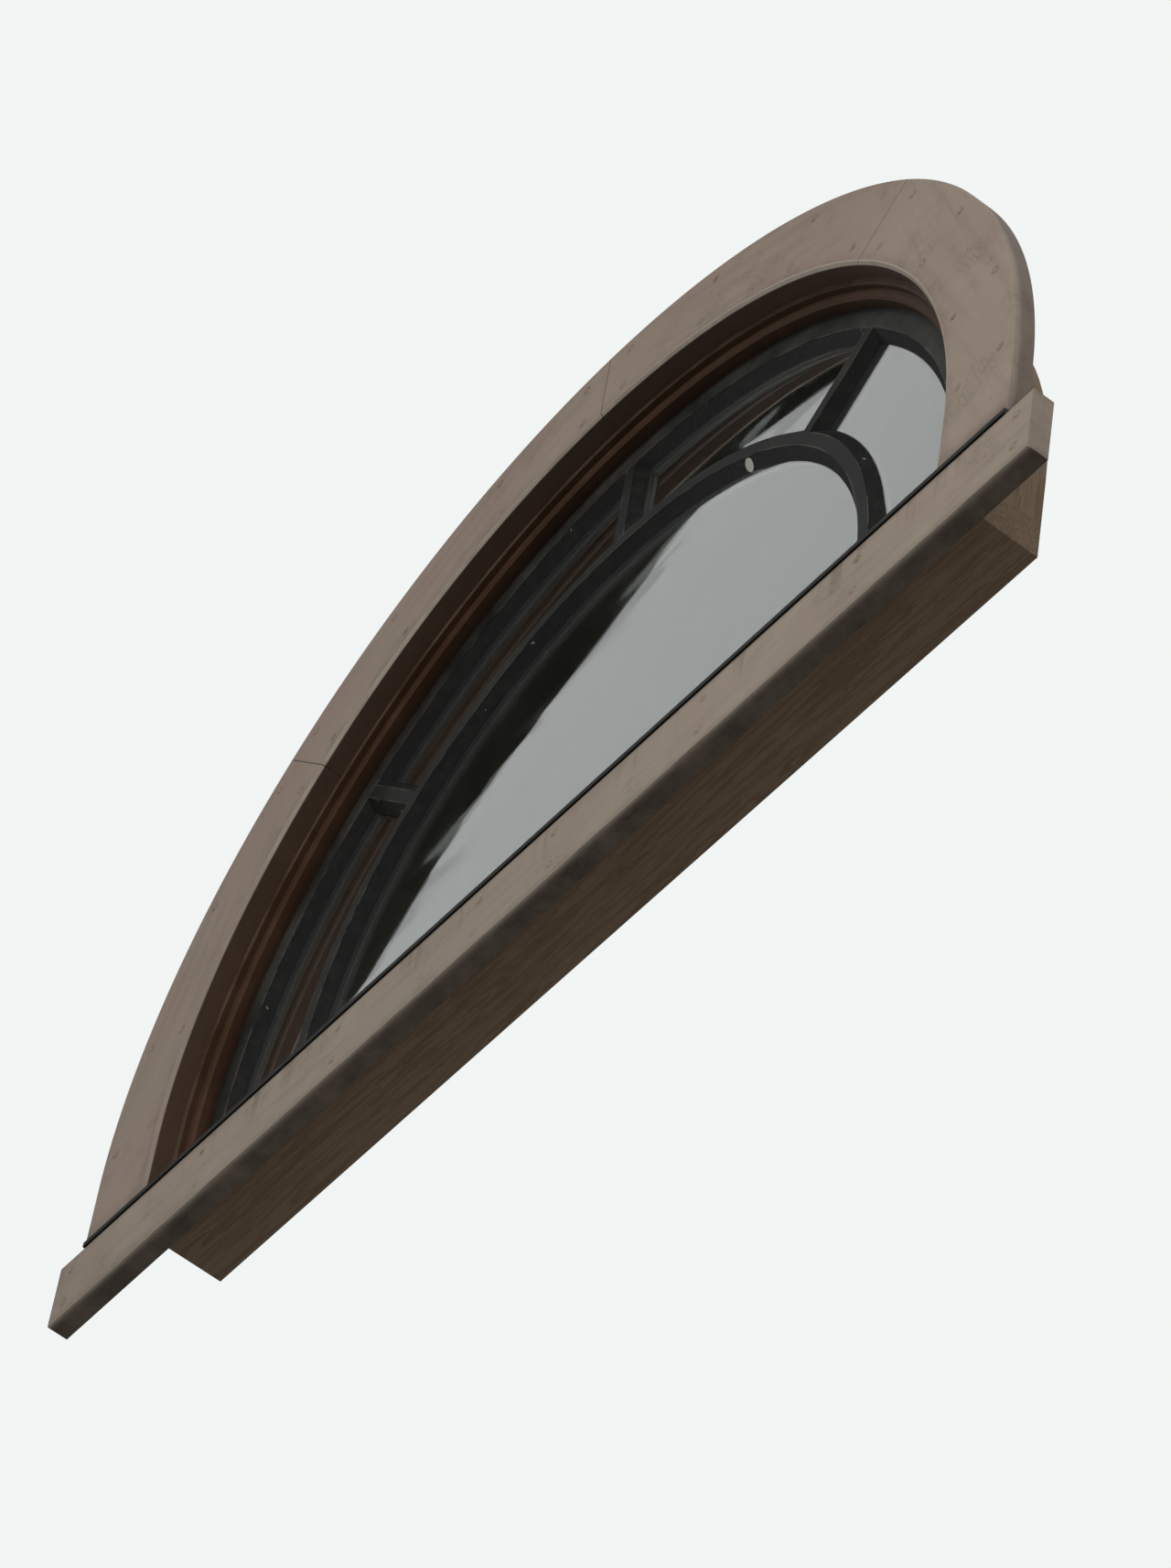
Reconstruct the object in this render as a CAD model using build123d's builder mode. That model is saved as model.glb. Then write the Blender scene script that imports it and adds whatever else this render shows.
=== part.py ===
from build123d import *
from math import cos, hypot, radians, sin, tan
import os

# Half-round gable window with its frame.
# X runs along the wall, Y into the building and Z up, so the outside faces -Y.
# The origin is the middle of the lower edge, on the face of the wall that the casing's back lies on.

# Angles around the arch are in degrees, from the right springing point to the left one
right_spring = 0
left_spring = 180

# Flat casing: an arch struck from one centre on the springing line, with two short straight legs
casing_inner_radius = 630.0
casing_width = 102.0
casing_thickness = 25.0
casing_leg = 80.0
casing_arris = 3.0
casing_edge_bevel = 1.5
casing_joints = [right_spring, 45, 90, 135, left_spring]

# Board under the window
rail_height = 88.0
rail_thickness = 25.0
rail_overrun = 40.0  # past the casing at each end
rail_edge_round = 2.0

# Sill, whose front lip lies on the board and carries the casing's legs
sill_lip_height = 8.0
sill_lip_proud = 2.0
sill_lip_round = 2.0
sill_thickness = 38.0
sill_slope = 7.0  # degrees

# Jamb and stops
jamb_step = 8.0  # how far the jamb's face shows inside the casing's edge
jamb_thickness = 22.0
jamb_depth = 92.0
blind_stop_set_back = 7.0
blind_stop_width = 16.0
blind_stop_thickness = 12.0
blind_stop_bevel = 2.5
inner_stop_width = 15.5
inner_stop_thickness = 16.0
inner_stop_height = 12.0  # of the straight strip on the sill
inner_stop_bevel = 5.0

# Sash wood: the glazing rebate is open to the outside and the bevelled moulding faces the room
sash_clearance = 2.0  # around the arch; the bottom rail stands on the sill
stop_gap = 0.5
sash_head_width = 47.0
sash_joints = [right_spring, 60, 120, left_spring]
rebate_width = 12.0
rebate_depth = 15.0
sight_edge = 5.0
bevel_step = 3.0

# Glazing bars
border_width = 120.0  # ring of border panes, from the sash head's sight line to the half-round bar's middle
hub_joints = [right_spring, 90, left_spring]
bar_nose_width = 16.0
radial_bars = {"radial_bar_right": 45, "radial_bar_middle": 90, "radial_bar_left": 135}

# Glass and putty
glass_thickness = 3.0
glass_clearance = 2.0
putty_set_back = 0.6
putty_lip = 0.4
putty_short = 1.0  # how far the putty's foot stays behind the inner sight line

# Radii and depths that follow
casing_outer_radius = casing_inner_radius + casing_width
jamb_inner_radius = casing_inner_radius - jamb_step
jamb_outer_radius = jamb_inner_radius + jamb_thickness
blind_stop_radius = jamb_inner_radius - blind_stop_thickness
inner_stop_radius = jamb_inner_radius - inner_stop_thickness
sash_radius = jamb_inner_radius - sash_clearance
sight_radius = sash_radius - sash_head_width
rebate_radius = sight_radius + rebate_width
hub_bar_radius = sight_radius - border_width
nose_half = bar_nose_width / 2
bar_half = nose_half + rebate_width

sash_front = blind_stop_set_back + blind_stop_width
shelf_y = sash_front + rebate_depth
glass_front = shelf_y - glass_thickness
bevel_start = shelf_y + sight_edge
bevel_end = bevel_start + rebate_width
sash_back = bevel_end + bevel_step
inner_stop_front = sash_back + stop_gap
inner_stop_back = inner_stop_front + inner_stop_width

sill_front = -casing_thickness - sill_lip_proud
sill_lip_top = rail_height + sill_lip_height
sill_bottom = sill_lip_top - sill_thickness
spring_z = sill_lip_top + casing_leg
rebate_z = spring_z - rebate_width

edge_tolerance = 0.01
slope = radians(sill_slope)
arch_axis = Axis((0, 0, spring_z), (0, -1, 0))
sill_top = Plane((0, sill_front, sill_lip_top), x_dir=(1, 0, 0), z_dir=(0, -sin(slope), cos(slope)))


def sill_height(y):
    """Height of the sill's sloping top at depth y."""
    return sill_lip_top + (y - sill_front) * tan(slope)


def elevation(y):
    """Plane at depth y, seen from outside with x to the right; its normal points out of the wall."""
    return Plane.XZ.offset(-y)


def direction(angle):
    """Cosine and sine of an angle in degrees, exact at the quarter turns."""
    return round(cos(radians(angle)), 12), round(sin(radians(angle)), 12)


def arch_section(angle):
    """Plane across the arch at an angle: x is the radius and y the depth."""
    c, s = direction(angle)
    return Plane((0, 0, spring_z), x_dir=(c, 0, s), z_dir=(-s, 0, c))


def bar_plane(angle, radius):
    """Plane across a radial bar: its normal points outwards along the bar and y is the depth."""
    c, s = direction(angle)
    return Plane((radius * c, 0, spring_z + radius * s), x_dir=(s, 0, -c), z_dir=(c, 0, s))


def arch_radius(point):
    """Distance from the arch's centre line, on the round part or on a straight leg."""
    return hypot(point.X, max(point.Z - spring_z, 0))


def edges_at(part, radius, y):
    """Edges of an arched piece that run around it at one radius and one depth."""
    at_depth = [e for e in part.edges() if abs((e @ 0.5).Y - y) < edge_tolerance]
    return [e for e in at_depth if all(abs(arch_radius(e @ t) - radius) < edge_tolerance for t in (0, 0.5))]


def arch_band(inner, outer, start, end):
    """Face of a ring sector, with the straight leg where the sector ends on the springing line."""
    with BuildLine() as outline:
        near = CenterArc((0, spring_z), inner, start, end - start)
        far = CenterArc((0, spring_z), outer, start, end - start)
        Line(near @ 0, far @ 0)
        Line(near @ 1, far @ 1)
    make_face(outline.line)
    leg_centres = {right_spring: (inner + outer) / 2, left_spring: -(inner + outer) / 2}
    for angle in {start, end} & set(leg_centres):
        with Locations((leg_centres[angle], spring_z)):
            Rectangle(outer - inner, spring_z - rail_height, align=(Align.CENTER, Align.MAX))


def arched_board(inner, outer, front, back, start=right_spring, end=left_spring):
    """Flat arched piece between two depths; its legs are longer than needed until the sill cuts them."""
    with BuildPart() as board:
        with BuildSketch(elevation(back)):
            arch_band(inner, outer, start, end)
        extrude(amount=back - front)
    return board


def casing_segment(start, end):
    """One butted segment of the casing, with its two front edges bevelled."""
    with BuildPart() as segment:
        add(arched_board(casing_inner_radius, casing_outer_radius, -casing_thickness, 0, start, end).part)
        chamfer(edges_at(segment.part, casing_inner_radius, -casing_thickness), casing_arris)
        chamfer(edges_at(segment.part, casing_outer_radius, -casing_thickness), casing_edge_bevel)
        split(bisect_by=sill_top, keep=Keep.TOP)
    return segment


def stop_strip(inner, front, back, bevelled_y, bevel):
    """Bent strip inside the jamb, with one long edge bevelled."""
    with BuildPart() as strip:
        add(arched_board(inner, jamb_inner_radius, front, back).part)
        chamfer(edges_at(strip.part, inner, bevelled_y), bevel)
        split(bisect_by=sill_top, keep=Keep.TOP)
    return strip


def sash_section():
    """Face of the sash's curved head: rebate towards the glass outside, bevel and step inside."""
    with BuildLine() as outline:
        Polyline(
            (sash_radius, sash_back), (sash_radius, sash_front), (rebate_radius, sash_front),
            (rebate_radius, shelf_y), (sight_radius, shelf_y), (sight_radius, bevel_start),
            (rebate_radius, bevel_end), (rebate_radius, sash_back), close=True)
    make_face(outline.line)


def bar_section(centre):
    """Face of a glazing bar: a narrow nose outside, two rebates, and a bevelled back."""
    with BuildLine() as outline:
        for side in (-1, 1):
            Polyline(
                (centre, sash_front), (centre + side * nose_half, sash_front),
                (centre + side * nose_half, shelf_y), (centre + side * bar_half, shelf_y),
                (centre + side * bar_half, bevel_start), (centre + side * nose_half, bevel_end),
                (centre + side * nose_half, sash_back), (centre, sash_back))
    make_face(outline.line)


def curved_moulding(section, start, end):
    """Section revolved around the arch, its foot coped over the bottom rail of the sash."""
    with BuildPart() as moulding:
        with BuildSketch(arch_section(start)):
            section()
        revolve(axis=arch_axis, revolution_arc=end - start)
        for angle, drop in ((right_spring, -rebate_width), (left_spring, rebate_width)):
            if angle in (start, end):
                with BuildSketch(arch_section(angle)):
                    section()
                extrude(amount=drop)
        add(sash_bottom_rail.part, mode=Mode.SUBTRACT)
    return moulding


def radial_bar(angle):
    """Straight bar from the half-round bar to the sash head, coped at both ends."""
    with BuildPart() as bar:
        with BuildSketch(bar_plane(angle, hub_bar_radius)):
            bar_section(0)
        extrude(amount=rebate_radius + glass_clearance - hub_bar_radius)
        for neighbour in hub_bars + sash_heads:
            add(neighbour.part, mode=Mode.SUBTRACT)
    return bar


def glass_pane(opening):
    """Pane with a small gap all round inside its rebate."""
    with BuildPart() as pane:
        with BuildSketch(elevation(shelf_y)):
            add(opening)
            offset(amount=-glass_clearance, kind=Kind.INTERSECTION, mode=Mode.REPLACE)
        extrude(amount=glass_thickness)
    return pane


def putty_bevel(opening):
    """Putty around one pane: it slopes from the face of the wood down to the glass."""
    putty_front = sash_front + putty_set_back
    putty_foot = rebate_width - putty_short
    with BuildPart() as putty:
        with BuildSketch(elevation(glass_front)):
            add(opening)
        extrude(amount=glass_front - putty_front)
        with BuildSketch(elevation(glass_front)):
            add(opening)
            offset(amount=-putty_foot, kind=Kind.INTERSECTION, mode=Mode.REPLACE)
        with BuildSketch(elevation(putty_front)):
            add(opening)
            offset(amount=-putty_lip, kind=Kind.INTERSECTION, mode=Mode.REPLACE)
        loft(ruled=True, mode=Mode.SUBTRACT)
    return putty


# Board under the window
with BuildPart() as apron_rail:
    with BuildSketch(elevation(0)):
        Rectangle(2 * (casing_outer_radius + rail_overrun), rail_height, align=(Align.CENTER, Align.MIN))
    extrude(amount=rail_thickness)
    fillet(apron_rail.edges().filter_by(Axis.X).group_by(Axis.Y)[0], rail_edge_round)

# Sill: the lip runs out to the casing's outer edges as horns, the body fits between the wall's studs
with BuildPart() as sill:
    with BuildSketch(Plane.YZ):
        with BuildLine():
            Polyline(
                (sill_front, rail_height), (0, rail_height), (0, sill_height(0)),
                (sill_front, sill_lip_top), close=True)
        make_face()
    extrude(amount=casing_outer_radius, both=True)
    fillet(sill.edges().filter_by(Axis.X).group_by(Axis.Y)[0].sort_by(Axis.Z)[-1], sill_lip_round)
    with BuildSketch(Plane.YZ):
        with BuildLine():
            Polyline(
                (0, sill_bottom), (jamb_depth, sill_bottom), (jamb_depth, sill_height(jamb_depth)),
                (0, sill_height(0)), close=True)
        make_face()
    extrude(amount=jamb_outer_radius, both=True)

# Casing
casing_names = ["casing_right_lower", "casing_right_upper", "casing_left_upper", "casing_left_lower"]
casing = [casing_segment(*ends) for ends in zip(casing_joints, casing_joints[1:])]

# Jamb and the stops inside it
with BuildPart() as arched_jamb:
    add(arched_board(jamb_inner_radius, jamb_outer_radius, 0, jamb_depth).part)
    split(bisect_by=sill_top, keep=Keep.TOP)

blind_stop = stop_strip(
    blind_stop_radius, blind_stop_set_back, sash_front, blind_stop_set_back, blind_stop_bevel)
inner_stop_arch = stop_strip(
    inner_stop_radius, inner_stop_front, inner_stop_back, inner_stop_back, inner_stop_bevel)

with BuildPart() as inner_stop_bottom:
    with BuildSketch(elevation(inner_stop_back)):
        with Locations((0, rail_height)):
            Rectangle(
                2 * inner_stop_radius, sill_height(inner_stop_back) + inner_stop_height - rail_height,
                align=(Align.CENTER, Align.MIN))
    extrude(amount=inner_stop_width)
    chamfer(inner_stop_bottom.edges().filter_by(Axis.X).group_by(Axis.Z)[-1].sort_by(Axis.Y)[-1],
            inner_stop_bevel)
    split(bisect_by=sill_top, keep=Keep.TOP)

# Sash
with BuildPart() as sash_bottom_rail:
    with BuildSketch(Plane.YZ):
        with BuildLine():
            Polyline(
                (sash_back, rebate_z), (sash_back, rail_height), (sash_front, rail_height),
                (sash_front, rebate_z), (shelf_y, rebate_z), (shelf_y, spring_z),
                (bevel_start, spring_z), (bevel_end, rebate_z), close=True)
        make_face()
    extrude(amount=sash_radius, both=True)
    split(bisect_by=sill_top, keep=Keep.TOP)

sash_head_names = ["sash_head_right", "sash_head_top", "sash_head_left"]
sash_heads = [curved_moulding(sash_section, *ends) for ends in zip(sash_joints, sash_joints[1:])]

hub_bar_names = ["hub_bar_right", "hub_bar_left"]
hub_bars = [curved_moulding(lambda: bar_section(hub_bar_radius), *ends)
            for ends in zip(hub_joints, hub_joints[1:])]

# Openings between the bars' noses, at the face of the sash
with BuildSketch() as centre_opening:
    with BuildLine():
        top = CenterArc((0, spring_z), hub_bar_radius - nose_half, right_spring, left_spring - right_spring)
        Polyline(top @ 1, (-hub_bar_radius + nose_half, rebate_z), (hub_bar_radius - nose_half, rebate_z), top @ 0)
    make_face()

with BuildSketch() as border_openings:
    arch_band(hub_bar_radius + nose_half, rebate_radius, right_spring, left_spring)
    Rectangle(2 * sash_radius, rebate_z, align=(Align.CENTER, Align.MIN), mode=Mode.SUBTRACT)
    with Locations((0, spring_z)):
        for angle in radial_bars.values():
            Rectangle(sash_radius, bar_nose_width, rotation=angle, align=(Align.MIN, Align.CENTER),
                      mode=Mode.SUBTRACT)

pane_names = ["centre"] + [f"border_{number}" for number in range(1, len(radial_bars) + 2)]
openings = [centre_opening.sketch_local] + list(border_openings.faces().sort_by(Axis.X, reverse=True))

# Export
os.makedirs("parts", exist_ok=True)
pieces = {
    "apron_rail": apron_rail,
    "sill": sill,
    "arched_jamb": arched_jamb,
    "blind_stop": blind_stop,
    "inner_stop_arch": inner_stop_arch,
    "inner_stop_bottom": inner_stop_bottom,
    "sash_bottom_rail": sash_bottom_rail,
}
pieces.update(zip(casing_names, casing))
pieces.update(zip(sash_head_names, sash_heads))
pieces.update(zip(hub_bar_names, hub_bars))
pieces.update({name: radial_bar(angle) for name, angle in radial_bars.items()})
pieces.update({f"glass_{name}": glass_pane(opening) for name, opening in zip(pane_names, openings)})
pieces.update({f"putty_{name}": putty_bevel(opening) for name, opening in zip(pane_names, openings)})

for name, piece in pieces.items():
    piece.part.label = name
    export_step(piece.part, f"parts/{name}.step")
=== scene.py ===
import math
import random

import bpy
from mathutils import Matrix, Vector


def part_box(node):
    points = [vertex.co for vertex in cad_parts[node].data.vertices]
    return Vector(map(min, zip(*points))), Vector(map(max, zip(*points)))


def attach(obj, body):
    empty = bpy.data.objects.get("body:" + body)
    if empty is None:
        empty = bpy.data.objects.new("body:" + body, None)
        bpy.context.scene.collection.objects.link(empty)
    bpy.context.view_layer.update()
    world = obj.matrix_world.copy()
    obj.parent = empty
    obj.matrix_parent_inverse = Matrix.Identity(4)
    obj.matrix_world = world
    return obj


# Half-round window: the paint, putty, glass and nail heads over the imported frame.
# Metres, in the part's frame: X to the right, Y inwards and Z up, so the outside faces -Y.
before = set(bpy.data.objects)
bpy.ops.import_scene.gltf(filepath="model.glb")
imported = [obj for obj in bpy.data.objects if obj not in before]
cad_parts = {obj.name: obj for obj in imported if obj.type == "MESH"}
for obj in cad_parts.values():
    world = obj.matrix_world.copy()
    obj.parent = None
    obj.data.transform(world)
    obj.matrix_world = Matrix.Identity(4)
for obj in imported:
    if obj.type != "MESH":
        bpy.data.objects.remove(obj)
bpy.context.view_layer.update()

# Middles of the curved segments, in degrees around the arch; each is sawn from a board along its chord
CASING_SPAN = 45
CASING_SEGMENTS = {"casing_right_lower": 22.5, "casing_right_upper": 67.5,
                   "casing_left_upper": 112.5, "casing_left_lower": 157.5}
SASH_SEGMENTS = {"sash_head_right": 30, "sash_head_top": 90, "sash_head_left": 150}
RADIAL_BARS = {"radial_bar_right": 45, "radial_bar_middle": 90, "radial_bar_left": 135}

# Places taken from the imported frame; the board's front is flush with the casing's
JAMB_LOW, JAMB_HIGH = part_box("arched_jamb")
JAMB_FRONT = JAMB_LOW.y
JAMB_RADIUS = JAMB_HIGH.x
SPRING = JAMB_HIGH.z - JAMB_RADIUS  # height of the arch's centre
CASING_LOW, CASING_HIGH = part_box("casing_right_lower")
TRIM_FRONT = CASING_LOW.y
CASING_OUTER = CASING_HIGH.x
CASING_INNER = CASING_LOW.x / math.cos(math.radians(CASING_SPAN))  # the inner corner of its upper joint
CASING_MIDDLE = (CASING_INNER + CASING_OUTER) / 2
RAIL_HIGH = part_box("apron_rail")[1]
RAIL_END = RAIL_HIGH.x
RAIL_TOP = RAIL_HIGH.z
SILL_LIP_HEIGHT = 0.008
SILL_LIP_TOP = RAIL_TOP + SILL_LIP_HEIGHT
SASH_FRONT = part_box("sash_bottom_rail")[0].y
PUTTY_LOW, PUTTY_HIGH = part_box("putty_centre")
GLASS_FRONT = PUTTY_HIGH.y
REBATE_FLOOR = PUTTY_LOW.z
REBATE_WIDTH = SPRING - REBATE_FLOOR
REBATE_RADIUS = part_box("putty_border_1")[1].x  # in the sash's head
NOSE_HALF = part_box("radial_bar_middle")[1].x - REBATE_WIDTH  # of a glazing bar, outside
HUB_RADIUS = PUTTY_HIGH.x + NOSE_HALF  # of the half-round bar's middle

# Nails: two rows around the casing, mirrored about the middle of each segment, and two along the board
NAIL_ANGLES = (7.5, 19.5)  # degrees from a segment's middle
NAIL_ROW = 0.031
RAIL_NAIL_START = 0.060
RAIL_NAIL_PITCH = 0.230
RAIL_NAIL_ROW = 0.024
NAIL_RADIUS = 0.0032
NAIL_STAIN_RADIUS = 0.0075
NAIL_SEED = 11
NAIL_SCATTER = 0.0008
NAIL_LIFT = (-0.00015, 0.0001)
NAIL_LEAN = 0.06

# Low dome of a nail head under paint: radius as a share of the head's, and height over the board
DOME = ((0.0, 0.00055), (0.45, 0.00050), (0.78, 0.00034), (0.95, 0.00012), (1.0, -0.00030))
DOME_STEPS = 16

# One larger chip, halfway up the bevel of the middle pane's putty
CHIP_ANGLE = math.radians(60.0)
CHIP_HEIGHT = 0.006  # over the glass
CHIP_INSET = 0.006  # from the half-round bar's nose
CHIP_RING = HUB_RADIUS - NOSE_HALF - CHIP_INSET
CHIP_PLACE = Vector((CHIP_RING * math.cos(CHIP_ANGLE), GLASS_FRONT - CHIP_HEIGHT,
                     SPRING + CHIP_RING * math.sin(CHIP_ANGLE)))
CHIP_RADIUS = 0.0073

# Camera: it stands where the photograph was taken from, below and to the right, and looks up
EYE = Vector((4.077, -2.377, -5.385))
PHOTO_UP = Vector((0.4725, -0.4805, 0.7388))
AIM = Vector((0.060, 0.0, 0.164))
LENS = 170.0
CAMERA_REACH = 200

# Floor, far below because the camera looks up, and one soft lamp
FLOOR_HEIGHT = -7.0
FLOOR_HALF = 90.0
LAMP_PLACE = Vector((2.6, -4.0, 1.6))
LAMP_AIM = Vector((0.1, 0, 0.4))
LAMP_SIZE = 3.0
LAMP_POWER = 130

# Dark room behind the window, seen only through the glass
ROOM_LOW = Vector((-1.5, 0.10, -0.9))
ROOM_HIGH = Vector((1.5, 1.9, 1.9))

# Dark card in front of the window, which the camera doesn't see and which casts no shadow; it shows mirrored
# in the glass: its line as x and z, and its depth
CARD_LINE = ((-2.20, 0.020), (-0.931, 0.939), (-0.816, 1.060), (-0.635, 1.180), (-0.446, 1.275),
             (-0.285, 1.362), (-0.139, 1.330), (0.900, 0.975))
CARD_DEPTH = 0.265

# Colours, linear; floor and sky have one colour where they are seen and others for the light they give
TRIM = (0.226, 0.183, 0.138, 1)
TRIM_FADED = (0.285, 0.240, 0.187, 1)
# Worn paint, also the painted highlight along the casing's arris
TRIM_WORN_AND_LIT = (0.370, 0.320, 0.260, 1)
TRIM_PINK = (0.240, 0.173, 0.143, 1)
TRIM_DEEP = (0.150, 0.113, 0.082, 1)
# Dirt, also painted shade in corners, at the feet and on the sides
TRIM_GRIME_AND_SHADE = (0.045, 0.032, 0.023, 1)
RUST = (0.120, 0.048, 0.020, 1)
REVEAL = (0.047, 0.023, 0.012, 1)
REVEAL_FADED = (0.076, 0.040, 0.023, 1)
# Dirt, also the painted shade in the reveal's corner
REVEAL_GRIME_AND_SHADE = (0.019, 0.010, 0.006, 1)
NEAR_BLACK = (0.0050, 0.0052, 0.0045, 1)
CHARCOAL = (0.016, 0.016, 0.014, 1)
CHALK = (0.070, 0.067, 0.056, 1)
# Dust, also the painted glints along the dark pieces' arrises
DUST_AND_GLINT = (0.19, 0.17, 0.14, 1)
BARE_PINE = (0.27, 0.200, 0.135, 1)
BARE_PINE_DARK = (0.165, 0.112, 0.070, 1)
PUTTY_BLACK = (0.0050, 0.0050, 0.0045, 1)
PUTTY_BARE = (0.58, 0.57, 0.52, 1)
GLASS_TINT = (0.86, 0.90, 0.86, 1)
PANE_DUST = (0.115, 0.120, 0.105, 1)
PANE_DUST_PALE = (0.20, 0.205, 0.185, 1)
ROOM_DARK = (0.010, 0.011, 0.009, 1)
CARD_DARK = (0.032, 0.031, 0.023, 1)
FLOOR_SEEN = (0.78, 0.78, 0.77, 1)
FLOOR_LIGHT = (0.22, 0.21, 0.20, 1)
SKY_SEEN = (0.88, 0.91, 0.90, 1)
SKY_LIGHT_ABOVE = (1.0, 1.02, 1.04, 1)
SKY_LIGHT_BELOW = (0.20, 0.19, 0.18, 1)


class Socket:
    """An output of a shader node; a sum written with it adds Math nodes."""

    def __init__(self, shader, output):
        self.shader = shader
        self.output = output

    def math(self, operation, *others):
        return self.shader.math(operation, self, *others)

    def __add__(self, other):
        return self.math("ADD", other)

    def __radd__(self, other):
        return self.shader.math("ADD", other, self)

    def __sub__(self, other):
        return self.math("SUBTRACT", other)

    def __rsub__(self, other):
        return self.shader.math("SUBTRACT", other, self)

    def __mul__(self, other):
        return self.math("MULTIPLY", other)

    def __rmul__(self, other):
        return self.shader.math("MULTIPLY", other, self)

    def __abs__(self):
        return self.math("ABSOLUTE")

    def at_least(self, other):
        return self.math("MAXIMUM", other)

    def at_most(self, other):
        return self.math("MINIMUM", other)

    def rise(self, low, high):
        """0 below low and 1 above high, with a smooth step between; it falls where high is below low."""
        return self.shader.node("ShaderNodeMapRange", {"interpolation_type": "SMOOTHSTEP"},
                                {"Value": self, "From Min": low, "From Max": high})

    def near(self, value, reach):
        """1 at a value, falling to 0 at a reach to either side."""
        return abs(self - value).rise(reach, 0)


class Shader:
    """A material or world whose nodes are made one by one."""

    def __init__(self, owner):
        owner.use_nodes = True
        self.owner = owner
        self.tree = owner.node_tree
        self.tree.nodes.clear()

    def node(self, kind, settings=None, inputs=None, output=0):
        """Adds a node: its settings first, then its sockets' values or links; returns one of its outputs."""
        made = self.tree.nodes.new(kind)
        for name, value in (settings or {}).items():
            setattr(made, name, value)
        for key, value in (inputs or {}).items():
            if isinstance(value, Socket):
                self.tree.links.new(value.output, made.inputs[key])
            else:
                made.inputs[key].default_value = value
        return Socket(self, made.outputs[output]) if made.outputs else None

    def math(self, operation, *values):
        return self.node("ShaderNodeMath", {"operation": operation}, dict(enumerate(values)))

    def place(self):
        return self.node("ShaderNodeTexCoord", output="Object")

    def part_of(self, vector, axis):
        return self.node("ShaderNodeSeparateXYZ", inputs={"Vector": vector}, output=axis)

    def split(self, vector):
        return [self.part_of(vector, axis) for axis in "XYZ"]

    def join(self, x, y, z):
        return self.node("ShaderNodeCombineXYZ", inputs={"X": x, "Y": y, "Z": z})

    def noise(self, vector, scale, detail, roughness, distortion=0.0):
        return self.node("ShaderNodeTexNoise", inputs={
            "Vector": vector, "Scale": scale, "Detail": detail, "Roughness": roughness,
            "Distortion": distortion})

    def cracks(self, vector, width):
        """1 along the edges of an irregular cell pattern of size 1, 0 elsewhere."""
        edge = self.node("ShaderNodeTexVoronoi", {"feature": "DISTANCE_TO_EDGE"},
                         {"Vector": vector, "Scale": 1})
        return edge.rise(width, 0)

    def mix(self, share, a, b):
        return self.node("ShaderNodeMix", {"data_type": "RGBA"}, {0: share, 6: a, 7: b}, output=2)

    def bump(self, height, distance, strength):
        return self.node("ShaderNodeBump",
                         inputs={"Height": height, "Distance": distance, "Strength": strength})

    def facing(self, axis):
        """The part of the true normal along one axis."""
        return self.part_of(self.node("ShaderNodeNewGeometry", output="True Normal"), axis)

    def seen(self):
        """1 where a backdrop is seen, directly, mirrored or through glass; 0 where it only gives light."""
        straight, mirrored, through = [self.node("ShaderNodeLightPath", output=name) for name in (
            "Is Camera Ray", "Is Glossy Ray", "Is Transmission Ray")]
        return (straight + mirrored + through).at_most(1)

    def principled(self, **inputs):
        """A Principled shader; base_color stands for its socket Base Color, and so on."""
        named = {key.replace("_", " ").title().replace("Ior", "IOR"): value for key, value in inputs.items()}
        return self.node("ShaderNodeBsdfPrincipled", inputs=named)

    def finish(self, surface):
        self.node("ShaderNodeOutputMaterial", inputs={"Surface": surface})
        return self.owner


def material(name):
    return Shader(bpy.data.materials.new(name))


def distance(*parts):
    """Length of a line, from its parts along the axes."""
    total = parts[0] * parts[0]
    for part in parts[1:]:
        total = total + part * part
    return total.math("SQRT")


def arch_radius(x, z):
    """Distance from the arch's centre, or across from its middle on the straight legs."""
    return distance(x, (z - SPRING).at_least(0))


def arch_angle(x, z):
    """Angle around the arch in radians, from the right springing point; it stays still on the legs."""
    return (z - SPRING).at_least(0).math("ARCTAN2", x)


def arch_length(x, z):
    """Length around the arch at the middle of the casing, from the right springing point, legs included."""
    leg = (z - SPRING).at_most(0) * x.math("SIGN")
    return arch_angle(x, z) * CASING_MIDDLE + leg


def along_board(x, z, degrees):
    """Length along a straight board at an angle through the arch's centre, and the width across it."""
    cosine = math.cos(math.radians(degrees))
    sine = math.sin(math.radians(degrees))
    up = z - SPRING
    return x * cosine + up * sine, up * cosine - x * sine


# In the finishes below, widths are metres, and a noise of scale s has about s cells in a metre
def wood_marks(shader, along, across, depth):
    """Grain that telegraphs through the paint, and the brush's strokes, both along the board."""
    grain = shader.noise(shader.join(along * 2.2, across * 45, depth * 45), 1, 5, 0.62, 0.6)
    strokes = shader.noise(shader.join(along * 9, across * 420, depth * 420), 1, 3, 0.55)
    return grain, strokes


def pine(shader, grain, strokes):
    """Bare sawn pine, for the sides that are hidden once the window is built in."""
    rings = (grain * 9).math("FRACT").rise(0.15, 0.85)
    return shader.mix(rings * 0.55 + strokes * 0.35, BARE_PINE, BARE_PINE_DARK)


def reveal_colour(shader, cloud):
    """Dark reddish brown, faded in clouds."""
    return shader.mix(cloud.rise(0.4, 0.72) * 0.6, REVEAL, REVEAL_FADED)


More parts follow.
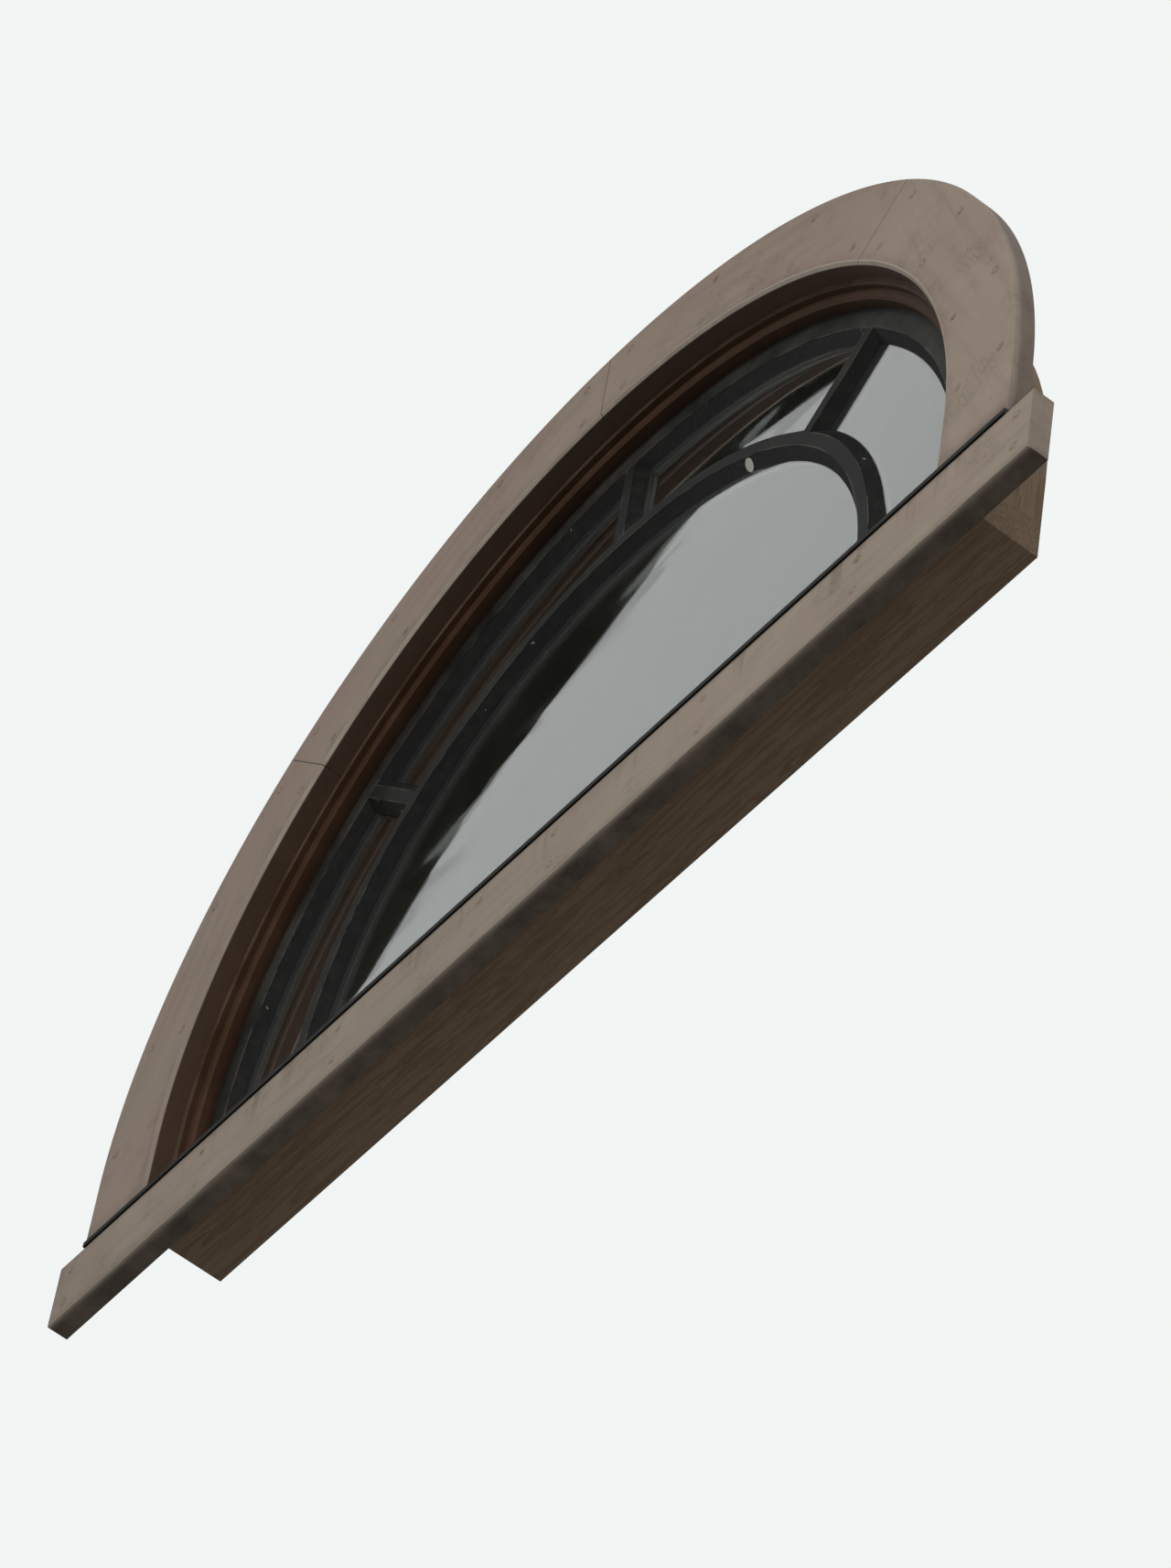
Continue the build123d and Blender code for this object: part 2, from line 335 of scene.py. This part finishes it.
def casing_marks(x, y, z):
    """Masks on the casing: joints, metres to the nearest nail, the arris lightened as wear and painted
    highlight, the sides darkened as dirt and painted shade, and darkening at the feet and along the inner
    edge, dirt with painted shade.
    """
    radius = arch_radius(x, z)
    depth = y - TRIM_FRONT
    from_inner = radius - CASING_INNER
    per_degree = radius * math.radians(1)
    degrees = arch_angle(x, z) * math.degrees(1)
    from_middle = abs(degrees.math("MODULO", CASING_SPAN) - CASING_SPAN / 2)

    to_joint = (CASING_SPAN / 2 - from_middle) * per_degree
    joint = to_joint.rise(0.0009, 0.0003) * (z - SPRING).rise(0.03, 0.06)
    row = abs(abs(radius - CASING_MIDDLE) - NAIL_ROW)
    first, second = [distance((from_middle - angle) * per_degree, row) for angle in NAIL_ANGLES]
    arris = from_inner.rise(0.0052, 0.0030) * depth.rise(0.006, 0.002)
    # Painted highlight with wear: the light arris is strongest towards the top of the arch, where it catches
    # the light.
    arris = arris * ((z - SPRING).rise(0.15, 0.50) * 0.7 + 0.3)
    # The outer side is darkened as painted shade of the gap beside the casing, with some dirt.
    side = (radius - CASING_OUTER).rise(-0.0024, -0.0008) * depth.rise(0.003, 0.012)
    # Darker at the feet by the sill and along the inner edge: dirt with painted shade.
    foot = (z - SILL_LIP_TOP).rise(0.030, 0.0)
    grime_and_shade = foot * 0.45 + from_inner.rise(0.022, 0.004) * (1 - arris) * 0.2
    return joint, first.at_most(second), arris, side, grime_and_shade


def rail_marks(shader, x, y, z):
    """The same masks on the board, where dirt runs down in drips from the casing's feet; just under the sill
    lip and along the bottom edge and underside it is darker, as painted shade with dirt.
    """
    depth = y - TRIM_FRONT
    up = z - RAIL_TOP
    drips = shader.noise(shader.join(x * 55, y * 55, z * 3), 1, 4, 0.6)

    joint = up.rise(-0.0012, 0) * 0.6
    on_pitch = abs(x).math("MODULO", RAIL_NAIL_PITCH) - RAIL_NAIL_START
    to_nail = distance(on_pitch, abs(z - RAIL_TOP / 2) - RAIL_NAIL_ROW)
    arris = up.near(0, 0.003).at_least(z.near(0, 0.003)) * depth.rise(0.005, 0.002)
    # The underside, the bottom edge and a band just under the sill lip are darker, as painted shade with
    # dirt; the drips are dirt.
    side = z.rise(0.0015, 0.0002) * depth.rise(0.002, 0.010)
    grime_and_shade = up.rise(-0.055, 0.0) * drips.rise(0.5, 0.72) * 0.45 + up.rise(-0.006, 0) * 0.35
    return joint, to_nail, arris, side, grime_and_shade + z.rise(0.012, 0) * 0.3


def trim_paint(name, degrees, is_casing):
    """Faded mauve-brown house paint on a flat board, lightened at the arrises by wear and painted highlight,
    and darkened in the corners and on the sides by dirt and painted shade.
    """
    shader = material(name)
    place = shader.place()
    x, y, z = shader.split(place)
    along, across = along_board(x, z, degrees)
    grain, strokes = wood_marks(shader, along, across, y)
    blotch = shader.noise(place, 4.5, 4, 0.6)
    tint = shader.noise(shader.join(x + 3, y, z + 7), 9, 3, 0.55)
    cloud = shader.noise(place, 17, 5, 0.65)
    streaks = shader.noise(shader.join(along * 5, across * 70, y * 70), 1, 4, 0.6)
    speckle = shader.noise(place, 420, 2, 0.7)
    cracks = shader.cracks(shader.join(along * 45, across * 190, y * 190), 0.06) * cloud.rise(0.5, 0.7)
    marks = casing_marks(x, y, z) if is_casing else rail_marks(shader, x, y, z)
    joint, to_nail, arris, side, grime_and_shade = marks
    halo = to_nail.rise(NAIL_STAIN_RADIUS, NAIL_RADIUS) * (y - TRIM_FRONT).rise(0.002, 0.001)
    rust = halo * shader.noise(place, 60, 3, 0.6).rise(0.45, 0.62)
    # The sides' darkening is painted shade with dirt; the halos round nails and the cracks are stains.
    stains_and_shade = side * (0.35 + cloud * 0.3) + halo * 0.22 + cracks * 0.35
    grime_and_shade = (grime_and_shade * cloud.rise(0.25, 0.6) + stains_and_shade).at_most(1)

    pinker = 0.35 if is_casing else 0
    colour = shader.mix(blotch.rise(0.35, 0.68) * 0.5, TRIM, TRIM_FADED)
    colour = shader.mix(tint.rise(0.40, 0.62) * 0.4 + pinker, colour, TRIM_PINK)
    colour = shader.mix(cloud.rise(0.45, 0.75) * 0.25, colour, TRIM_DEEP)
    colour = shader.mix(streaks.rise(0.48, 0.72) * 0.3, colour, TRIM_DEEP)
    colour = shader.mix(grain.rise(0.5, 0.72) * 0.25, colour, TRIM_DEEP)
    colour = shader.mix(speckle.rise(0.55, 0.8) * 0.25, colour, TRIM_FADED)
    # Painted shade with dirt darkens the corners, the feet and the sides.
    colour = shader.mix(grime_and_shade, colour, TRIM_GRIME_AND_SHADE)
    colour = shader.mix(rust * 0.4, colour, RUST)
    # Arrises lightened as wear and as painted highlight.
    colour = shader.mix(arris * (0.45 + cloud.rise(0.35, 0.6) * 0.5), colour, TRIM_WORN_AND_LIT)
    colour = shader.mix(joint * 0.85, colour, TRIM_GRIME_AND_SHADE)
    if is_casing:
        # The inner side takes the reveal's dark paint, wrapped round the edge, which also stands for painted
        # shade on that face.
        inside = (arch_radius(x, z) - CASING_INNER).rise(0.0012, 0.0004)
        inside = inside * (y - TRIM_FRONT).rise(0.0025, 0.0045)
        colour = shader.mix(inside * 0.9, colour, reveal_colour(shader, cloud))
    back = shader.facing("Y").rise(0.6, 0.9)
    colour = shader.mix(back, colour, pine(shader, grain, strokes))

    roughness = (0.52 + blotch * 0.16 + grime_and_shade * 0.2 + back * 0.2).at_most(0.95)
    height = grain * 0.5 + strokes * 0.22 + speckle * 0.12 - cracks * 0.3 - joint * 0.8 - halo * 0.25
    return shader.finish(shader.principled(
        base_color=colour, roughness=roughness, normal=shader.bump(height, 0.0009, 0.6),
        specular_ior_level=0.25))


def reveal_paint():
    """Dark reddish brown paint inside the opening, on jamb and stops, worn on its front edge."""
    shader = material("reveal_paint")
    place = shader.place()
    x, y, z = shader.split(place)
    radius = arch_radius(x, z)
    grain, strokes = wood_marks(shader, arch_length(x, z), radius, y)
    cloud = shader.noise(place, 14, 5, 0.62)
    speckle = shader.noise(place, 380, 2, 0.7)

    colour = reveal_colour(shader, cloud)
    edge = (y - JAMB_FRONT).rise(0.0012, 0.0)
    colour = shader.mix(edge * 0.4 * cloud.rise(0.3, 0.6), colour, TRIM_DEEP)
    # Painted shade with some dirt in the corner by the sash's front, and dirt in the grain.
    corner = (y - SASH_FRONT).near(0, 0.010) * (radius - REBATE_RADIUS).rise(0.015, 0.025)
    grime_and_shade = (corner * 0.6 + grain.rise(0.5, 0.75) * 0.3).at_most(1)
    colour = shader.mix(grime_and_shade, colour, REVEAL_GRIME_AND_SHADE)
    outside = (radius - JAMB_RADIUS).rise(-0.003, -0.001)
    colour = shader.mix(outside, colour, pine(shader, grain, strokes))

    roughness = (0.5 + cloud * 0.2 + outside * 0.25).at_most(0.95)
    height = grain * 0.45 + strokes * 0.2 + speckle * 0.12
    return shader.finish(shader.principled(
        base_color=colour, roughness=roughness, normal=shader.bump(height, 0.0008, 0.6),
        specular_ior_level=0.12))


def worn_and_glinting_arris(piece, across, x, y, z):
    """1 along the arris that shows most on one kind of dark piece, lightened there by wear and painted
    glints.
    """
    if piece == "sill":
        return (z - SILL_LIP_TOP).near(0, 0.0015) * (y - TRIM_FRONT).rise(0.004, 0.001)
    if piece == "hub bar":
        return abs(across - HUB_RADIUS).near(NOSE_HALF, 0.0011)
    if piece == "radial bar":
        return abs(across).near(NOSE_HALF, 0.0011)
    if piece == "bottom rail":
        return (z - REBATE_FLOOR).near(0, 0.0013)
    return arch_radius(x, z).near(REBATE_RADIUS, 0.0013)


def dark_paint(name, piece, degrees=None):
    """Near black satin on sash and sill, greyed by dust where it looks up and lightened at its arrises by
    wear and painted glints.
    """
    shader = material(name)
    place = shader.place()
    x, y, z = shader.split(place)
    if degrees is None:
        along, across = arch_length(x, z), arch_radius(x, z)
    else:
        along, across = along_board(x, z, degrees)
    grain, strokes = wood_marks(shader, along, across, y)
    cloud = shader.noise(place, 22, 5, 0.62)
    speckle = shader.noise(place, 520, 2, 0.7)

    colour = shader.mix(cloud.rise(0.35, 0.75) * 0.8, NEAR_BLACK, CHARCOAL)
    if piece == "head":
        chalky = shader.noise(place, 7, 4, 0.6).rise(0.35, 0.7) * (y - SASH_FRONT).rise(0.001, 0.0005)
        colour = shader.mix(chalky * 0.45, colour, CHALK)
    # Painted glints with wear: the front arrises are lightened.
    worn = worn_and_glinting_arris(piece, across, x, y, z) * (y - SASH_FRONT).rise(0.002, 0.0008) * cloud.rise(0.42, 0.6)
    colour = shader.mix(worn * 0.5, colour, DUST_AND_GLINT)
    looks_up = shader.facing("Z")
    dust = looks_up.rise(0.3, 0.95) * (0.2 + cloud.rise(0.3, 0.7) * 0.35)
    colour = shader.mix(dust, colour, DUST_AND_GLINT)
    roughness = 0.46 + cloud * 0.16 + dust * 0.3
    if piece == "sill":
        end = abs(x).rise(JAMB_RADIUS - 0.002, JAMB_RADIUS - 0.001)
        hidden = (y - JAMB_FRONT).rise(0.0, 0.001) * looks_up.rise(-0.3, -0.8).at_least(end)
        colour = shader.mix(hidden, colour, pine(shader, grain, strokes))
        roughness = (roughness + hidden * 0.3).at_most(0.95)

    height = grain * 0.4 + strokes * 0.25 + speckle * 0.1
    return shader.finish(shader.principled(
        base_color=colour, roughness=roughness, normal=shader.bump(height, 0.0007, 0.6),
        specular_ior_level=0.10))


def glazing_putty():
    """Hard old putty under black paint, dragged by the knife, finely cracked and chipped bare in places."""
    shader = material("glazing_putty")
    place = shader.place()
    x, y, z = shader.split(place)
    drag_place = shader.join(arch_length(x, z) * 14, arch_radius(x, z) * 160, y * 160)
    drag = shader.noise(drag_place, 1, 4, 0.6)
    lumps = shader.noise(place, 60, 4, 0.6)
    cracks = shader.cracks(shader.join(x * 85, y * 85, z * 85), 0.05)
    ragged = distance(x - CHIP_PLACE.x, y - CHIP_PLACE.y, z - CHIP_PLACE.z) + (lumps - 0.5) * 0.005
    chip = ragged.rise(CHIP_RADIUS + 0.0005, CHIP_RADIUS - 0.0005)
    small_chips = shader.noise(shader.join(x + 5, y, z + 2), 60, 3, 0.6).rise(0.70, 0.74)
    bare = chip.at_least(small_chips * 0.45)

    colour = shader.mix(lumps.rise(0.4, 0.75) * 0.6, PUTTY_BLACK, CHARCOAL)
    colour = shader.mix(bare, colour, PUTTY_BARE)
    roughness = 0.48 + lumps * 0.15 + bare * 0.3
    height = lumps * 0.6 + drag * 0.4 - cracks * 0.5 - bare * 0.6
    return shader.finish(shader.principled(
        base_color=colour, roughness=roughness, normal=shader.bump(height, 0.0008, 0.7),
        specular_ior_level=0.12))


def old_glass():
    """Drawn window glass: a little wavy, with a film of dust that thickens along the bottom rail."""
    shader = material("old_glass")
    place = shader.place()
    x, y, z = shader.split(place)
    film = shader.noise(place, 6, 5, 0.6)
    specks = shader.noise(place, 90, 3, 0.6)
    runs = shader.noise(shader.join(x * 30, y, z * 3), 1, 4, 0.6)
    waves = shader.noise(shader.join(x * 3.2, y, z * 7.5), 1, 2, 0.45)
    foot = (z - REBATE_FLOOR).rise(0.10, 0.012)
    dust = (0.009 + film.rise(0.4, 0.8) * 0.018 + runs.rise(0.5, 0.75) * 0.014 + foot * 0.05
            + specks.rise(0.62, 0.75) * 0.012)
    pane = shader.principled(
        base_color=GLASS_TINT, roughness=0.01 + film.rise(0.45, 0.8) * 0.04,
        normal=shader.bump(waves, 0.0004, 1.0), ior=1.52, transmission_weight=1.0,
        coat_weight=0.5, coat_roughness=0.02, coat_ior=1.5)
    grey_dust = shader.principled(base_color=shader.mix(film, PANE_DUST, PANE_DUST_PALE), roughness=0.9)
    return shader.finish(shader.node("ShaderNodeMixShader", inputs={0: dust, 1: pane, 2: grey_dust}))


def painted_nails():
    """Nail heads under the trim's paint, rusty where it has cracked round them."""
    shader = material("painted_nails")
    place = shader.place()
    cloud = shader.noise(place, 90, 4, 0.6)
    coarse = shader.noise(place, 900, 2, 0.6)
    colour = shader.mix(cloud.rise(0.4, 0.7), TRIM, TRIM_DEEP)
    colour = shader.mix(cloud.rise(0.58, 0.66) * 0.7, colour, RUST)
    normal = shader.bump(cloud * 0.6 + coarse * 0.3, 0.0005, 0.7)
    return shader.finish(shader.principled(base_color=colour, roughness=0.55 + cloud * 0.2, normal=normal))


def dress(node, finish):
    """Gives a node of the frame its finish."""
    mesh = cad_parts[node].data
    mesh.materials.clear()
    mesh.materials.append(finish)


def dress_trim():
    for node, middle in CASING_SEGMENTS.items():
        dress(node, trim_paint("paint_on_" + node, middle + 90, True))
    dress("apron_rail", trim_paint("paint_on_rail", 0, False))


def dress_opening():
    reveal = reveal_paint()
    for node in ("arched_jamb", "blind_stop", "inner_stop_arch", "inner_stop_bottom"):
        dress(node, reveal)
    dress("sill", dark_paint("dark_paint_on_sill", "sill", 0))


def dress_sash():
    dress("sash_bottom_rail", dark_paint("dark_paint_on_bottom_rail", "bottom rail", 0))
    for node, middle in SASH_SEGMENTS.items():
        dress(node, dark_paint("dark_paint_on_" + node, "head", middle + 90))
    for node, angle in RADIAL_BARS.items():
        dress(node, dark_paint("dark_paint_on_" + node, "radial bar", angle))
    bent = dark_paint("dark_paint_on_hub_bars", "hub bar")
    for node in ("hub_bar_right", "hub_bar_left"):
        dress(node, bent)


def dress_panes():
    putty = glazing_putty()
    glass = old_glass()
    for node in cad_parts:
        if node.startswith("putty"):
            dress(node, putty)
        if node.startswith("glass"):
            dress(node, glass)


def nail_places():
    """Where nails are driven, as x and z on the front of the casing and the board."""
    places = []
    for middle in CASING_SEGMENTS.values():
        for offset in NAIL_ANGLES:
            for side in (-1, 1):
                for row in (-NAIL_ROW, NAIL_ROW):
                    angle = math.radians(middle + side * offset)
                    radius = CASING_MIDDLE + row
                    places.append((radius * math.cos(angle), SPRING + radius * math.sin(angle)))
    reach = RAIL_NAIL_START
    while reach < RAIL_END:
        for side in (-1, 1):
            for row in (-RAIL_NAIL_ROW, RAIL_NAIL_ROW):
                places.append((side * reach, RAIL_TOP / 2 + row))
        reach += RAIL_NAIL_PITCH
    return places


def add_nail_head(vertices, faces, x, z, chance):
    """One low dome, a little off its mark and tilted."""
    x += chance.uniform(-NAIL_SCATTER, NAIL_SCATTER)
    z += chance.uniform(-NAIL_SCATTER, NAIL_SCATTER)
    lift = chance.uniform(*NAIL_LIFT)
    lean_x = chance.uniform(-NAIL_LEAN, NAIL_LEAN)
    lean_z = chance.uniform(-NAIL_LEAN, NAIL_LEAN)
    rings = []
    for share, height in DOME:
        ring = []
        for step in range(DOME_STEPS if share else 1):
            turn = 2 * math.pi * step / DOME_STEPS
            right = share * NAIL_RADIUS * math.cos(turn)
            up = share * NAIL_RADIUS * math.sin(turn)
            ring.append(len(vertices))
            vertices.append((x + right, TRIM_FRONT - height - lift + right * lean_x + up * lean_z, z + up))
        rings.append(ring)
    for step in range(DOME_STEPS):
        following = (step + 1) % DOME_STEPS
        faces.append((rings[0][0], rings[1][step], rings[1][following]))
        for inner, outer in zip(rings[1:], rings[2:]):
            faces.append((inner[step], outer[step], outer[following], inner[following]))
    faces.append(tuple(reversed(rings[-1])))


def mesh_object(name, vertices, faces, finish):
    mesh = bpy.data.meshes.new(name)
    mesh.from_pydata(vertices, [], faces)
    mesh.materials.append(finish)
    made = bpy.data.objects.new(name, mesh)
    bpy.context.scene.collection.objects.link(made)
    return made


def make_nail_heads():
    """All nail heads as one mesh of low domes."""
    chance = random.Random(NAIL_SEED)
    vertices, faces = [], []
    for x, z in nail_places():
        add_nail_head(vertices, faces, x, z, chance)
    heads = mesh_object("nail_heads", vertices, faces, painted_nails())
    heads.data.shade_smooth()
    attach(heads, "root")


def make_camera():
    forward = (AIM - EYE).normalized()
    right = forward.cross(PHOTO_UP).normalized()
    up = right.cross(forward)
    camera = bpy.data.objects.new("camera", bpy.data.cameras.new("camera"))
    camera.data.lens = LENS
    camera.data.clip_end = CAMERA_REACH
    camera.matrix_world = Matrix.Translation(EYE) @ Matrix((right, up, -forward)).transposed().to_4x4()
    bpy.context.scene.collection.objects.link(camera)
    bpy.context.scene.camera = camera


def matt_finish(name, colour):
    shader = material(name)
    return shader.finish(shader.principled(base_color=colour, roughness=0.9, specular_ior_level=0.0))


def make_floor():
    """A plain pale floor that gives little light back."""
    signs = ((-1, -1), (1, -1), (1, 1), (-1, 1))
    corners = [(x * FLOOR_HALF, y * FLOOR_HALF, FLOOR_HEIGHT) for x, y in signs]
    shader = material("floor")
    colour = shader.mix(shader.seen(), FLOOR_LIGHT, FLOOR_SEEN)
    finish = shader.finish(shader.principled(base_color=colour, roughness=0.9))
    mesh_object("floor", corners, [(0, 1, 2, 3)], finish)


def make_room():
    """Unlit room behind the glass, without a front: only rays that have passed the glass meet it."""
    low, high = ROOM_LOW, ROOM_HIGH
    vertices = [(x, y, z) for x in (low.x, high.x) for y in (low.y, high.y) for z in (low.z, high.z)]
    faces = [(0, 1, 3, 2), (4, 6, 7, 5), (0, 2, 6, 4), (1, 5, 7, 3), (2, 3, 7, 6)]
    room = mesh_object("room", vertices, faces, matt_finish("room", ROOM_DARK))
    room.visible_camera = False
    room.visible_diffuse = False
    room.visible_glossy = False
    room.visible_shadow = False


def make_card():
    """Dark card that the camera doesn't see and that casts no shadow; it shows mirrored in the glass."""
    vertices = [(x, -y, z) for x, z in CARD_LINE for y in (0.0, CARD_DEPTH)]
    faces = [(2 * i, 2 * i + 1, 2 * i + 3, 2 * i + 2) for i in range(len(CARD_LINE) - 1)]
    card = mesh_object("card", vertices, faces, matt_finish("card", CARD_DARK))
    card.visible_camera = False
    card.visible_shadow = False


def make_sky():
    """Even light that is stronger from above, before a pale background."""
    world = bpy.data.worlds.new("studio")
    bpy.context.scene.world = world
    shader = Shader(world)
    height = shader.part_of(shader.node("ShaderNodeTexCoord", output="Generated"), "Z")
    light = shader.mix(height.rise(-0.35, 0.75), SKY_LIGHT_BELOW, SKY_LIGHT_ABOVE)
    colour = shader.mix(shader.seen(), light, SKY_SEEN)
    background = shader.node("ShaderNodeBackground", inputs={"Color": colour, "Strength": 1.0})
    shader.node("ShaderNodeOutputWorld", inputs={"Surface": background})


def make_lamp():
    lamp = bpy.data.objects.new("soft_key", bpy.data.lights.new("soft_key", "AREA"))
    lamp.data.shape = "DISK"
    lamp.data.size = LAMP_SIZE
    lamp.data.energy = LAMP_POWER
    lamp.visible_glossy = False
    lamp.location = LAMP_PLACE
    lamp.rotation_euler = (LAMP_AIM - LAMP_PLACE).to_track_quat("-Z", "Y").to_euler()
    bpy.context.scene.collection.objects.link(lamp)


dress_trim()
dress_opening()
dress_sash()
dress_panes()
make_nail_heads()
make_camera()
make_floor()
make_room()
make_card()
make_sky()
make_lamp()

bpy.context.scene.view_settings.view_transform = "Standard"
